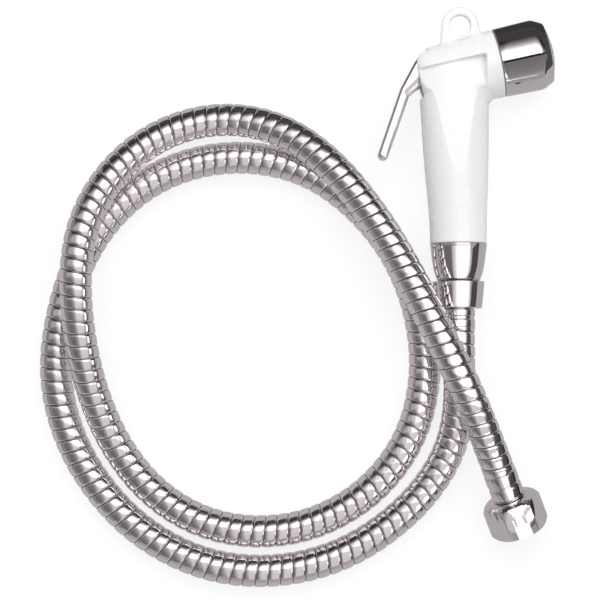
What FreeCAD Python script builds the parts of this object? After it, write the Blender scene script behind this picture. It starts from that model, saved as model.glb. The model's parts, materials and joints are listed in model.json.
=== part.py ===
import FreeCAD, Part

import math
import os

import Sketcher
from FreeCAD import Placement, Rotation, Vector

# A handheld bidet shower lying on its side: a white moulded handset with a trigger and a shut-off valve,
# and a metal hose with a nut at each end. Millimetres, +X right, +Y up the handle, +Z off the floor.
# The handset is drawn about its handle axis, with y = 0 at the foot of the collar, and its valve about
# the head axis, which leaves the handle at head_height and rises by head_tilt towards the spray face.

doc = FreeCAD.newDocument("BidetShower")

# Driving dimensions, each written once in the sheet
SIZES = {
    # clearances
    "fit": 0.05,
    "gap": 0.3,
    # how far the cutting tools run past a face, and past a whole piece
    "overrun": 3.0,
    "beyond": 20.0,
    # handle collar and the spigot that it covers
    "collar_length": 17.2,
    "collar_waist_y": 5.0,
    "collar_shoulder_y": 14.4,
    "collar_low_r": 9.8,
    "collar_waist_r": 11.5,
    "collar_shoulder_r": 12.8,
    "collar_high_r": 13.2,
    "collar_floor": 1.7,
    "spigot_r": 8.4,
    "spigot_root": 2.0,
    "handle_bore_r": 4.5,
    # inlet tail, screwed up into the handle
    "tail_screw_r": 5.95,
    "tail_depth": 15.8,
    "tail_bore_r": 4.2,
    "tail_flange_r": 8.9,
    "tail_flange": 1.2,
    "tail_thread_r": 9.9,
    "tail_end": 8.0,
    "tail_seal": 1.5,
    # handle sections: height, half width and how far each centre sits towards the trigger
    "waist_y": 42.0,
    "waist_r": 14.1,
    "waist_shift": 0.5,
    "grip_y": 70.0,
    "grip_r": 15.5,
    "grip_shift": 1.4,
    "neck_y": 88.0,
    "neck_r": 16.1,
    "neck_shift": 1.9,
    "crown_r": 16.6,
    "crown_shift": 2.4,
    # panels on both sides of the handle, bowed along it and crowned across, closing in to a point above the collar
    "panel_start": 35.5,
    "panel_y": 33.0,
    "panel_z": 13.56,
    "panel_lean": 3.75,
    "panel_bow_r": 430.0,
    "panel_crown_r": 45.0,
    "panel_middle": -1.0,
    "panel_rise": 4.0,
    "panel_front": 12.0,
    "panel_depth": 4.5,
    "panel_room": 60.0,
    # head barrel
    "head_height": 97.0,
    "head_tilt": 12.4,
    "barrel_back": 18.6,
    "barrel_back_r": 13.6,
    "barrel_front": 19.0,
    "barrel_front_r": 15.9,
    "barrel_round": 6.0,
    "head_spigot": 8.0,
    "sleeve_back_wall": 2.3,
    "neck_round": 4.6,
    # hanging eye
    "eye_x": 1.0,
    "eye_y": 118.6,
    "eye_r": 8.7,
    "eye_hole_r": 4.8,
    "eye_thick": 4.6,
    "eye_foot": 11.0,
    "eye_flare_back": 0.8,
    "eye_flare_front": 1.8,
    "eye_root_round": 2.0,
    "eye_rim_round": 1.4,
    # valve along the head axis, measured from the handle axis
    "gland_r": 5.0,
    "gland_length": 8.2,
    "gland_recess_r": 3.4,
    "gland_lip": 2.0,
    "stem_r": 1.7,
    "stem_reach": 17.1,
    "stem_nose": 1.1,
    "stem_collar": 0.6,
    "stem_collar_r": 2.6,
    "stem_flange": 1.2,
    "stem_flange_r": 4.6,
    "ring_wire_r": 0.8,
    "chamber_front": 3.0,
    "front_bore_r": 9.0,
    "seat_thick": 3.15,
    "seat_lip": 0.6,
    "seat_lip_r": 4.4,
    "seat_hole_r": 3.6,
    "seat_ring_wire_r": 0.65,
    "disc_thick": 2.3,
    "disc_r": 5.4,
    "spring_r": 3.2,
    "spring_wire_r": 0.45,
    "spring_turns": 3.5,
    "spring_length": 5.6,
    "holder_thick": 2.2,
    "holder_spigot": 2.4,
    "holder_spigot_r": 2.2,
    "holder_hole_r": 1.3,
    "holder_hole_ring": 6.0,
    # chrome head sleeve and spray plate
    "sleeve_r": 16.4,
    "sleeve_shoulder": 38.5,
    "sleeve_face": 42.4,
    "sleeve_face_r": 13.9,
    "sleeve_round": 3.0,
    "sleeve_wall": 2.1,
    "ledge_r": 11.0,
    "ledge_thick": 1.5,
    "head_seal_thick": 1.45,
    "plate_r": 13.0,
    "plate_back": 40.2,
    "plate_ledge_r": 12.0,
    "plate_ledge": 1.2,
    "plate_ledge_slope": 1.8,
    "plate_crown": 45.0,
    "nozzle_r": 0.5,
    "nozzle_ring": 3.1,
    # trigger lever and its pin
    "pivot_x": -15.0,
    "pivot_y": 103.0,
    "pin_r": 1.5,
    "pin_reach": 9.0,
    "lug_r": 3.2,
    "lug_back_angle": 135.0,
    "lug_front_angle": -72.5,
    "lever_half": 6.0,
    "slot_side": 0.3,
    "slot_floor": 12.5,
    "slot_foot": 8.5,
    "lug_room": 0.5,
    "heel_reach": 5.6,
    "heel_drop": 2.4,
    "knee_reach": 12.0,
    "knee_drop": 14.3,
    "tip_reach": 23.1,
    "tip_drop": 46.8,
    "bar_across": 5.1,
    "bar_top_thinner": 0.6,
    "knee_inner_drop": 2.5,
    "crotch_across": 3.1,
    "crotch_rise": 2.6,
    "bar_edge_round": 1.5,
    "nose_half": 3.0,
    # pieces of both hose ends
    "thread_bore_r": 9.95,
    "nut_top_r": 12.0,
    "nut_foot_r": 10.8,
    "nut_length": 12.3,
    "nut_floor": 1.55,
    "washer_thick": 1.5,
    "washer_r": 9.4,
    "washer_hole_r": 4.5,
    "flange_thick": 1.4,
    "neck_tube_r": 5.2,
    "neck_bore_r": 3.6,
    "ferrule_r": 7.6,
    "ferrule_length": 8.6,
    "ferrule_groove": 0.4,
    "supply_ferrule_length": 13.2,
    "hex_flats": 24.0,
    "hex_length": 16.7,
    "hex_wall": 2.4,
    "hex_bore_r": 10.48,
    "hex_edge_r": 13.75,
    "hex_end_r": 12.2,
    "hex_back_r": 9.8,
    "hex_bevel": 1.6,
    "hex_shoulder": 0.4,
    "thread_length": 11.0,
    "washer_seat_r": 9.9,
    # hose
    "hose_r": 7.5,
}

sheet = doc.addObject("Spreadsheet::Sheet", "Sizes")
for row, (alias, number) in enumerate(SIZES.items(), start=1):
    sheet.set(f"A{row}", alias)
    sheet.set(f"B{row}", str(number))
    sheet.setAlias(f"B{row}", alias)
for row, alias in enumerate(("stance_x", "stance_y", "stance_z"), start=len(SIZES) + 1):
    sheet.set(f"A{row}", alias)
    sheet.set(f"B{row}", "0")
    sheet.setAlias(f"B{row}", alias)
doc.recompute()


class Size:
    """A length, with the sheet expression that gives it."""

    def __init__(self, text, value):
        self.text = text
        self.value = value

    def __add__(self, other):
        return Size(f"({self.text} + {text_of(other)})", self.value + value_of(other))

    def __sub__(self, other):
        return Size(f"({self.text} - {text_of(other)})", self.value - value_of(other))

    def __neg__(self):
        return Size(f"(-{self.text})", -self.value)

    def __mul__(self, factor):
        return Size(f"({self.text} * {factor})", self.value * factor)

    __rmul__ = __mul__


def text_of(size):
    return size.text if isinstance(size, Size) else str(size)


def value_of(size):
    return size.value if isinstance(size, Size) else size


def cell(alias):
    return Size(f"Sizes.{alias}", SIZES[alias])


def drive(thing, name, size):
    """Binds one property to the sheet."""
    thing.setExpression(name, text_of(size))


# Sketches, bodies and placements
def datum(body, role):
    """One of the body's own origin planes or axes."""
    return next(item for item in body.Origin.OriginFeatures if item.Role == role)


def hold(sketch, way, edge, size):
    """Fixes the first end of a line across or up from the sketch's origin."""
    if value_of(size) == 0:
        sketch.addConstraint(Sketcher.Constraint("PointOnObject", edge, 1, -2 if way == "X" else -1))
        return
    row = sketch.addConstraint(Sketcher.Constraint("Distance" + way, -1, 1, edge, 1, value_of(size)))
    sketch.setExpression(f"Constraints[{row}]", text_of(size))


def polygon(body, name, corners, plane="XY_Plane"):
    """A closed sketch of straight lines, every corner held by the sheet."""
    sketch = body.newObject("Sketcher::SketchObject", name)
    sketch.AttachmentSupport = (datum(body, plane), "")
    sketch.MapMode = "FlatFace"
    spots = [Vector(value_of(across), value_of(up), 0) for across, up in corners]
    count = len(spots)
    for k in range(count):
        sketch.addGeometry(Part.LineSegment(spots[k], spots[(k + 1) % count]), False)
    for k in range(count):
        sketch.addConstraint(Sketcher.Constraint("Coincident", k, 2, (k + 1) % count, 1))
    for k, (across, up) in enumerate(corners):
        hold(sketch, "X", k, across)
        hold(sketch, "Y", k, up)
    return sketch


def new_body(label):
    body = doc.addObject("PartDesign::Body", label)
    body.Label = label
    return body


def turned(label, profile, axis="X"):
    """A turned piece: its profile holds (along, radius) pairs, spun about X, or about Y on the handle."""
    body = new_body(label)
    corners = profile if axis == "X" else [(radius, along) for along, radius in profile]
    sketch = polygon(body, label + "_profile", corners)
    spin = body.newObject("PartDesign::Revolution", label + "_spin")
    spin.Profile = sketch
    spin.ReferenceAxis = (datum(body, axis + "_Axis"), [""])
    spin.Angle = 360
    doc.recompute()
    return body


def padded(label, corners, half):
    """A flat outline padded by the same amount to both sides of the middle plane."""
    body = new_body(label)
    sketch = polygon(body, label + "_outline", corners)
    pad = body.newObject("PartDesign::Pad", label + "_pad")
    pad.Profile = sketch
    pad.Midplane = True
    drive(pad, "Length", 2 * half)
    doc.recompute()
    return body


def edges_at(shape, test):
    """Names of the edges whose middle point passes a test."""
    names = []
    for k, edge in enumerate(shape.Edges, start=1):
        middle = edge.valueAt((edge.FirstParameter + edge.LastParameter) / 2)
        if test(edge, middle):
            names.append(f"Edge{k}")
    return names


def rounded(body, test, radius, name="round", kind="PartDesign::Fillet"):
    """Rounds or bevels the chosen edges of a body."""
    base = body.Tip
    names = edges_at(base.Shape, test)
    if not names:
        raise RuntimeError(f"{body.Label}: no edge to finish for {name}")
    finish = body.newObject(kind, f"{body.Label}_{name}")
    finish.Base = (base, names)
    drive(finish, "Radius" if kind.endswith("Fillet") else "Size", radius)
    doc.recompute()
    return body


def circle_at(along, radius, axis="X"):
    """Tests for the circle of a turned piece at one place along it."""

    def test(edge, middle):
        place = middle.x if axis == "X" else middle.y
        reach = math.hypot(middle.y, middle.z) if axis == "X" else math.hypot(middle.x, middle.z)
        return abs(place - value_of(along)) < 0.01 and abs(reach - value_of(radius)) < 0.01

    return test


def upright_at(x, y):
    """Tests for the straight edge that stands at one corner of a padded outline."""

    def test(edge, middle):
        return math.hypot(middle.x - value_of(x), middle.y - value_of(y)) < 0.01 and abs(middle.z) < 0.01

    return test


def block(name, kind, sizes, place=None):
    """A primitive with its sizes bound to the sheet."""
    thing = doc.addObject(kind, name)
    for key, size in sizes.items():
        if isinstance(size, Size):
            drive(thing, key, size)
        else:
            setattr(thing, key, size)
    if place:
        thing.Placement = place
    return thing


def joined(name, things):
    fuse = doc.addObject("Part::MultiFuse", name)
    fuse.Shapes = things
    return fuse


def taken(name, base, tools):
    """The base with every tool cut away."""
    waste = tools[0] if len(tools) == 1 else joined(name + "_tools", tools)
    cut = doc.addObject("Part::Cut", name)
    cut.Base = base
    cut.Tool = waste
    return cut


NODES = {}


def node(label, thing):
    """Registers a finished piece under the name of its file."""
    thing.Label = label
    NODES[label] = thing
    return thing


HEAD_TURN = Rotation(Vector(0, 0, 1), SIZES["head_tilt"])


def along_head(x=0.0, y=0.0, turn=None):
    """A place in the head's own frame: x along its axis from the handle axis, y across it."""
    spot = Vector(0, SIZES["head_height"], 0) + HEAD_TURN.multVec(Vector(x, y, 0))
    return Placement(spot, HEAD_TURN.multiply(turn) if turn else HEAD_TURN)


TO_X = Rotation(Vector(0, 1, 0), 90)
TO_Y = Rotation(Vector(1, 0, 0), -90)

fit = cell("fit")
gap = cell("gap")
head_spigot_r = cell("barrel_front_r") - cell("sleeve_back_wall") - 2 * fit


# Handset body
def handle_section(height, radius, shift):
    """One round section of the handle, level across its axis."""
    ring = doc.addObject("Part::Circle", "section")
    drive(ring, "Radius", radius)
    ring.Placement = Placement(Vector(-value_of(shift), value_of(height), 0), TO_Y)
    drive(ring, "Placement.Base.x", -shift if isinstance(shift, Size) else shift)
    drive(ring, "Placement.Base.y", height)
    return ring


def side_panel(side):
    """The block that leaves one side panel: all that lies outside a large ring, up to just below the head's top."""
    room = SIZES["panel_room"]
    slab = block("panel_slab", "Part::Box", {
        "Length": 2 * cell("panel_room"), "Width": 3 * cell("panel_room"), "Height": cell("panel_room")})
    low = side * (SIZES["panel_z"] - SIZES["panel_depth"]) - (room if side < 0 else 0)
    slab.Placement = Placement(Vector(-room, SIZES["panel_start"], low), Rotation())
    lean = math.radians(SIZES["panel_lean"])
    core = block("panel_core", "Part::Torus", {
        "Radius1": cell("panel_bow_r") - cell("panel_crown_r"), "Radius2": cell("panel_crown_r")})
    centre_y = SIZES["panel_y"] + SIZES["panel_bow_r"] * math.sin(lean)
    centre_z = side * (SIZES["panel_z"] - SIZES["panel_bow_r"] * math.cos(lean))
    core.Placement = Placement(Vector(SIZES["panel_middle"], centre_y, centre_z), TO_X)
    limits = []
    for name in ("panel_top", "panel_front_end"):
        limit = block(name, "Part::Box", {key: 4 * cell("panel_room") for key in ("Length", "Width", "Height")})
        limits.append(limit)
    limits[0].Placement = along_head(-2 * room, SIZES["panel_rise"] - 4 * room)
    limits[0].Placement.Base.z = -2 * room
    limits[1].Placement = Placement(Vector(SIZES["panel_front"] - 4 * room, -2 * room, -2 * room), Rotation())
    panel = doc.addObject("Part::MultiCommon", "panel_block")
    panel.Shapes = [slab] + limits
    return taken("panel_cut", panel, [core])


def softened(name, base, rounds):
    """Rounds edges of a joined form; each round is a radius and the test that its edges' middles pass."""
    doc.recompute()
    fillet = doc.addObject("Part::Fillet", name)
    fillet.Base = base
    chosen = []
    for radius, test in rounds:
        found = [int(edge[4:]) for edge in edges_at(base.Shape, test)]
        if not found:
            raise RuntimeError(f"{name}: no edge to round")
        chosen += [(edge, value_of(radius), value_of(radius)) for edge in found]
    fillet.Edges = chosen
    doc.recompute()
    return fillet


def under_the_head(edge, middle):
    """The two long edges where the front of the handle meets the underside of the barrel."""
    between = SIZES["head_height"] - SIZES["barrel_front_r"] < middle.y < SIZES["head_height"]
    return edge.Curve.TypeId == "Part::GeomBSplineCurve" and between and middle.x > SIZES["panel_front"]


def at_the_eye_root(edge, middle):
    """The short edges across the foot of the eye, at its back and front."""
    between = SIZES["head_height"] < middle.y < SIZES["eye_y"]
    return edge.Curve.TypeId == "Part::GeomEllipse" and between and abs(middle.z) < SIZES["eye_thick"] / 2


def on_the_eye_rim(edge, middle):
    """The edges round the outside of the eye, on both of its faces."""
    on_face = abs(abs(middle.z) - SIZES["eye_thick"] / 2) < 0.01
    return on_face and middle.y > SIZES["eye_y"] - SIZES["eye_r"] and edge.Curve.TypeId != "Part::GeomHyperbola"


def handset_body():
    foot = cell("collar_length") + fit
    rings = [
        handle_section(foot, cell("collar_high_r") - 2 * fit, 0),
        handle_section(cell("waist_y"), cell("waist_r"), cell("waist_shift")),
        handle_section(cell("grip_y"), cell("grip_r"), cell("grip_shift")),
        handle_section(cell("neck_y"), cell("neck_r"), cell("neck_shift")),
        handle_section(cell("head_height"), cell("crown_r"), cell("crown_shift")),
    ]
    handle = doc.addObject("Part::Loft", "handle")
    handle.Sections = rings
    handle.Solid = True
    spigot = block("handle_spigot", "Part::Cylinder", {"Radius": cell("spigot_r")})
    drive(spigot, "Height", cell("collar_length") - cell("collar_floor") + cell("spigot_root"))
    spigot.Placement = Placement(Vector(0, SIZES["collar_floor"] + SIZES["fit"], 0), TO_Y)
    barrel = turned("barrel", [
        (-cell("barrel_back"), 0),
        (-cell("barrel_back"), cell("barrel_back_r")),
        (cell("barrel_front"), cell("barrel_front_r")),
        (cell("barrel_front"), head_spigot_r),
        (cell("barrel_front") + cell("head_spigot"), head_spigot_r),
        (cell("barrel_front") + cell("head_spigot"), 0),
    ])
    rounded(barrel, circle_at(-cell("barrel_back"), cell("barrel_back_r")), cell("barrel_round"))
    barrel.Placement = along_head()
    eye_post = padded("eye_post", [
        (cell("eye_x") - cell("eye_r"), cell("eye_y")),
        (cell("eye_x") - cell("eye_r") - cell("eye_flare_back"), cell("eye_y") - cell("eye_foot")),
        (cell("eye_x") + cell("eye_r") + cell("eye_flare_front"), cell("eye_y") - cell("eye_foot")),
        (cell("eye_x") + cell("eye_r"), cell("eye_y")),
    ], cell("eye_thick") * 0.5)
    eye_ring = block("eye_ring", "Part::Cylinder", {"Radius": cell("eye_r"), "Height": cell("eye_thick")})
    eye_ring.Placement = Placement(Vector(SIZES["eye_x"], SIZES["eye_y"], -SIZES["eye_thick"] / 2), Rotation())
    blank = joined("moulding", [handle, spigot, barrel, eye_post, eye_ring])
    flanked = taken("flanked", blank, [side_panel(1), side_panel(-1)])
    form = softened("softened_body", flanked, [
        (cell("neck_round"), under_the_head),
        (cell("eye_root_round"), at_the_eye_root),
        (cell("eye_rim_round"), on_the_eye_rim),
    ])

    beyond = SIZES["beyond"]
    eye_hole = block("eye_hole", "Part::Cylinder", {"Radius": cell("eye_hole_r"), "Height": 2 * cell("beyond")})
    eye_hole.Placement = Placement(Vector(SIZES["eye_x"], SIZES["eye_y"], -beyond), Rotation())
    water_way = turned("water_way", [
        (0, 0),
        (0, cell("tail_screw_r") + fit),
        (cell("tail_depth") + cell("tail_seal") + 2 * fit, cell("tail_screw_r") + fit),
        (cell("tail_depth") + cell("tail_seal") + 2 * fit, cell("handle_bore_r")),
        (cell("head_height"), cell("handle_bore_r")),
        (cell("head_height"), 0),
    ], "Y")
    valve_way = turned("valve_way", [
        (-cell("slot_floor") - cell("overrun"), 0),
        (-cell("slot_floor") - cell("overrun"), cell("gland_r")),
        (cell("chamber_front"), cell("gland_r")),
        (cell("chamber_front"), cell("front_bore_r")),
        (cell("barrel_front") + cell("head_spigot") + cell("overrun"), cell("front_bore_r")),
        (cell("barrel_front") + cell("head_spigot") + cell("overrun"), 0),
    ])
    valve_way.Placement = along_head()
    slot_half = SIZES["lever_half"] + SIZES["slot_side"]
    slot = block("slot", "Part::Box", {"Length": cell("beyond"), "Width": cell("slot_foot") + cell("beyond")})
    drive(slot, "Height", 2 * (cell("lever_half") + cell("slot_side")))
    slot.Placement = along_head(-SIZES["slot_floor"] - beyond, -SIZES["slot_foot"])
    slot.Placement.Base.z = -slot_half
    lug_room = block("lug_room", "Part::Cylinder", {"Radius": cell("lug_r") + cell("lug_room")})
    drive(lug_room, "Height", 2 * (cell("lever_half") + cell("slot_side")))
    lug_room.Placement = Placement(Vector(SIZES["pivot_x"], SIZES["pivot_y"], -slot_half), Rotation())
    pin_hole = block("pin_hole", "Part::Cylinder", {"Radius": cell("pin_r") + fit})
    drive(pin_hole, "Height", cell("pin_reach") + fit + cell("beyond"))
    pin_hole.Placement = Placement(Vector(SIZES["pivot_x"], SIZES["pivot_y"], -beyond), Rotation())
    tools = [eye_hole, water_way, valve_way, slot, lug_room, pin_hole]
    return taken("handset_body", form, tools)


# Pieces on the handle axis
def handle_collar():
    inner = cell("spigot_r") + fit
    throat = cell("tail_screw_r") + gap
    return turned("handle_collar", [
        (0, throat),
        (0, cell("collar_low_r")),
        (cell("collar_waist_y"), cell("collar_waist_r")),
        (cell("collar_shoulder_y"), cell("collar_shoulder_r")),
        (cell("collar_length"), cell("collar_high_r")),
        (cell("collar_length"), inner),
        (cell("collar_floor"), inner),
        (cell("collar_floor"), throat),
    ], "Y")


def inlet_tail():
    return turned("inlet_tail", [
        (cell("tail_depth"), cell("tail_bore_r")),
        (cell("tail_depth"), cell("tail_screw_r")),
        (-fit, cell("tail_screw_r")),
        (-fit, cell("tail_flange_r")),
        (-fit - cell("tail_flange"), cell("tail_flange_r")),
        (-fit - cell("tail_flange"), cell("tail_thread_r")),
        (-cell("tail_end"), cell("tail_thread_r")),
        (-cell("tail_end"), cell("tail_bore_r")),
    ], "Y")


def tail_seal():
    low = cell("tail_depth") + fit
    return turned("tail_seal", [
        (low, cell("handle_bore_r")),
        (low, cell("tail_screw_r")),
        (low + cell("tail_seal"), cell("tail_screw_r")),
        (low + cell("tail_seal"), cell("handle_bore_r")),
    ], "Y")


# Valve, along the head axis
def stem_gland():
    back = -cell("slot_floor") + fit
    front = back + cell("gland_length")
    hole = cell("stem_r") + fit
    return turned("stem_gland", [
        (back, hole),
        (back, cell("gland_r") - fit),
        (front, cell("gland_r") - fit),
        (front, hole),
        (front - cell("gland_lip"), hole),
        (front - cell("gland_lip"), cell("gland_recess_r")),
        (back + cell("gland_lip"), cell("gland_recess_r")),
        (back + cell("gland_lip"), hole),
    ])


def stem_rings():
    """Two rings that seal the stem inside the gland."""
    middle = -SIZES["slot_floor"] + SIZES["fit"] + SIZES["gland_length"] / 2
    rings = []
    for side in (-1, 1):
        ring = block("stem_ring", "Part::Torus", {"Radius1": cell("stem_r") + cell("ring_wire_r") + fit})
        drive(ring, "Radius2", cell("ring_wire_r"))
        ring.Placement = along_head(middle + side * (SIZES["ring_wire_r"] + SIZES["fit"]), 0, TO_X)
        rings.append(ring)
    pair = doc.addObject("Part::Compound", "stem_o_rings")
    pair.Links = rings
    return pair


SEAT_BACK = cell("chamber_front") + fit
SEAT_TOP = SEAT_BACK + cell("seat_thick") + cell("seat_lip")
DISC_BACK = SEAT_TOP + 2 * fit
FLANGE_BACK = DISC_BACK + cell("disc_thick") + fit
SPRING_BACK = FLANGE_BACK + cell("stem_flange") + fit
HOLDER_BACK = SPRING_BACK + cell("spring_length") + fit
HOLDER_HOLES = 6


def valve_seat():
    groove = cell("seat_ring_wire_r") + fit
    middle = SEAT_BACK + cell("seat_thick") * 0.5
    rim = cell("front_bore_r") - fit
    return turned("valve_seat", [
        (SEAT_BACK, cell("seat_hole_r")),
        (SEAT_BACK, rim),
        (middle - groove, rim),
        (middle - groove, rim - 2 * groove),
        (middle + groove, rim - 2 * groove),
        (middle + groove, rim),
        (SEAT_BACK + cell("seat_thick"), rim),
        (SEAT_BACK + cell("seat_thick"), cell("seat_lip_r") + cell("seat_lip")),
        (SEAT_TOP, cell("seat_lip_r")),
        (SEAT_TOP, cell("seat_hole_r")),
    ])


def seat_ring():
    ring = block("seat_o_ring", "Part::Torus", {"Radius2": cell("seat_ring_wire_r")})
    drive(ring, "Radius1", cell("front_bore_r") - fit - cell("seat_ring_wire_r"))
    ring.Placement = along_head((SEAT_BACK + cell("seat_thick") * 0.5).value, 0, TO_X)
    return ring


def valve_disc():
    hole = cell("stem_r") + fit
    return turned("valve_disc", [
        (DISC_BACK, hole),
        (DISC_BACK, cell("disc_r")),
        (DISC_BACK + cell("disc_thick"), cell("disc_r")),
        (DISC_BACK + cell("disc_thick"), hole),
    ])


def valve_stem():
    body = turned("valve_stem", [
        (-cell("stem_reach"), 0),
        (-cell("stem_reach"), cell("stem_r")),
        (DISC_BACK - fit - cell("stem_collar"), cell("stem_r")),
        (DISC_BACK - fit - cell("stem_collar"), cell("stem_collar_r")),
        (DISC_BACK - fit, cell("stem_collar_r")),
        (DISC_BACK - fit, cell("stem_r")),
        (FLANGE_BACK, cell("stem_r")),
        (FLANGE_BACK, cell("stem_flange_r")),
        (FLANGE_BACK + cell("stem_flange"), cell("stem_flange_r")),
        (FLANGE_BACK + cell("stem_flange"), cell("stem_r")),
        (FLANGE_BACK + cell("stem_flange") + cell("stem_nose"), cell("stem_r")),
        (FLANGE_BACK + cell("stem_flange") + cell("stem_nose"), 0),
    ])
    return rounded(body, circle_at(-cell("stem_reach"), cell("stem_r")), cell("stem_r") * 0.6)


def valve_spring():
    """A coil between the stem's flange and the holder, with its ends on both."""
    wire_r = SIZES["spring_wire_r"]
    free = SIZES["spring_length"] - 2 * wire_r
    pitch = free / SIZES["spring_turns"]
    helix = Part.makeHelix(pitch, free, SIZES["spring_r"])
    ring = Part.Wire([Part.makeCircle(wire_r, Vector(SIZES["spring_r"], 0, 0), Vector(0, 1, 0))])
    coil = Part.Wire(helix).makePipeShell([ring], True, True)
    spring = doc.addObject("Part::Feature", "valve_spring")
    spring.Shape = coil
    spring.Placement = along_head(SPRING_BACK.value + wire_r, 0, TO_X)
    return spring


def spring_holder():
    """The screwed ring that backs the spring, with a ring of holes for the water."""
    plate = turned("holder_blank", [
        (HOLDER_BACK - cell("holder_spigot"), 0),
        (HOLDER_BACK - cell("holder_spigot"), cell("holder_spigot_r")),
        (HOLDER_BACK, cell("holder_spigot_r")),
        (HOLDER_BACK, cell("front_bore_r") - fit),
        (HOLDER_BACK + cell("holder_thick"), cell("front_bore_r") - fit),
        (HOLDER_BACK + cell("holder_thick"), 0),
    ])
    plate.Placement = along_head()
    holes = []
    for k in range(HOLDER_HOLES):
        angle = 2 * math.pi * k / HOLDER_HOLES
        hole = block("holder_hole", "Part::Cylinder", {"Radius": cell("holder_hole_r")})
        drive(hole, "Height", cell("holder_thick") + 2 * cell("overrun"))
        start = (HOLDER_BACK - cell("overrun")).value
        hole.Placement = along_head(start, SIZES["holder_hole_ring"] * math.cos(angle), TO_X)
        hole.Placement.Base.z = SIZES["holder_hole_ring"] * math.sin(angle)
        holes.append(hole)
    return taken("spring_holder", plate, holes)


# Head sleeve, its seal and the spray plate
SEAL_BACK = cell("barrel_front") + cell("head_spigot") + fit
LEDGE_BACK = SEAL_BACK + cell("head_seal_thick") + fit


def head_seal():
    return turned("head_seal", [
        (SEAL_BACK, cell("front_bore_r") + gap),
        (SEAL_BACK, head_spigot_r - gap),
        (SEAL_BACK + cell("head_seal_thick"), head_spigot_r - gap),
        (SEAL_BACK + cell("head_seal_thick"), cell("front_bore_r") + gap),
    ])


def head_sleeve():
    """The chrome shell: screwed over the head's spigot, with a ledge for the seal and one for the plate."""
    inner = cell("sleeve_r") - cell("sleeve_wall")
    back = cell("barrel_front") + gap
    thread = head_spigot_r + 2 * fit
    seat = cell("plate_back")
    body = turned("head_sleeve", [
        (back, thread),
        (back, cell("barrel_front_r")),
        (cell("sleeve_shoulder"), cell("sleeve_r")),
        (cell("sleeve_face"), cell("sleeve_face_r")),
        (cell("sleeve_face"), cell("plate_r") + fit),
        (seat, cell("plate_r") + fit),
        (seat, cell("plate_ledge_r")),
        (seat - cell("plate_ledge"), cell("plate_ledge_r")),
        (seat - cell("plate_ledge") - cell("plate_ledge_slope"), inner),
        (LEDGE_BACK + cell("ledge_thick"), inner),
        (LEDGE_BACK + cell("ledge_thick"), cell("ledge_r")),
        (LEDGE_BACK, cell("ledge_r")),
        (LEDGE_BACK, thread),
    ])
    return rounded(body, circle_at(cell("sleeve_shoulder"), cell("sleeve_r")), cell("sleeve_round"))


NOZZLES = (1, 6, 12, 18)


def spray_plate():
    """A domed plate with rings of nozzles."""
    back = SIZES["plate_back"] + SIZES["fit"]
    rise = SIZES["plate_crown"] - SIZES["sleeve_face"]
    dome_r = (SIZES["plate_r"] ** 2 + rise ** 2) / (2 * rise)
    thick = cell("plate_crown") - cell("plate_back")
    disc = block("plate_disc", "Part::Cylinder", {"Radius": cell("plate_r"), "Height": thick})
    disc.Placement = along_head(back, 0, TO_X)
    dome = block("plate_dome", "Part::Sphere", {"Radius": dome_r})
    dome.Placement = along_head(SIZES["plate_crown"] - dome_r, 0)
    blank = doc.addObject("Part::MultiCommon", "plate_blank")
    blank.Shapes = [disc, dome]
    holes = []
    for ring, count in enumerate(NOZZLES):
        for k in range(count):
            angle = 2 * math.pi * k / count
            hole = block("nozzle", "Part::Cylinder", {"Radius": cell("nozzle_r"), "Height": thick + 2 * cell("overrun")})
            start = back - SIZES["overrun"]
            hole.Placement = along_head(start, ring * SIZES["nozzle_ring"] * math.cos(angle), TO_X)
            hole.Placement.Base.z = ring * SIZES["nozzle_ring"] * math.sin(angle)
            holes.append(hole)
    return taken("spray_plate", blank, holes)


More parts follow.
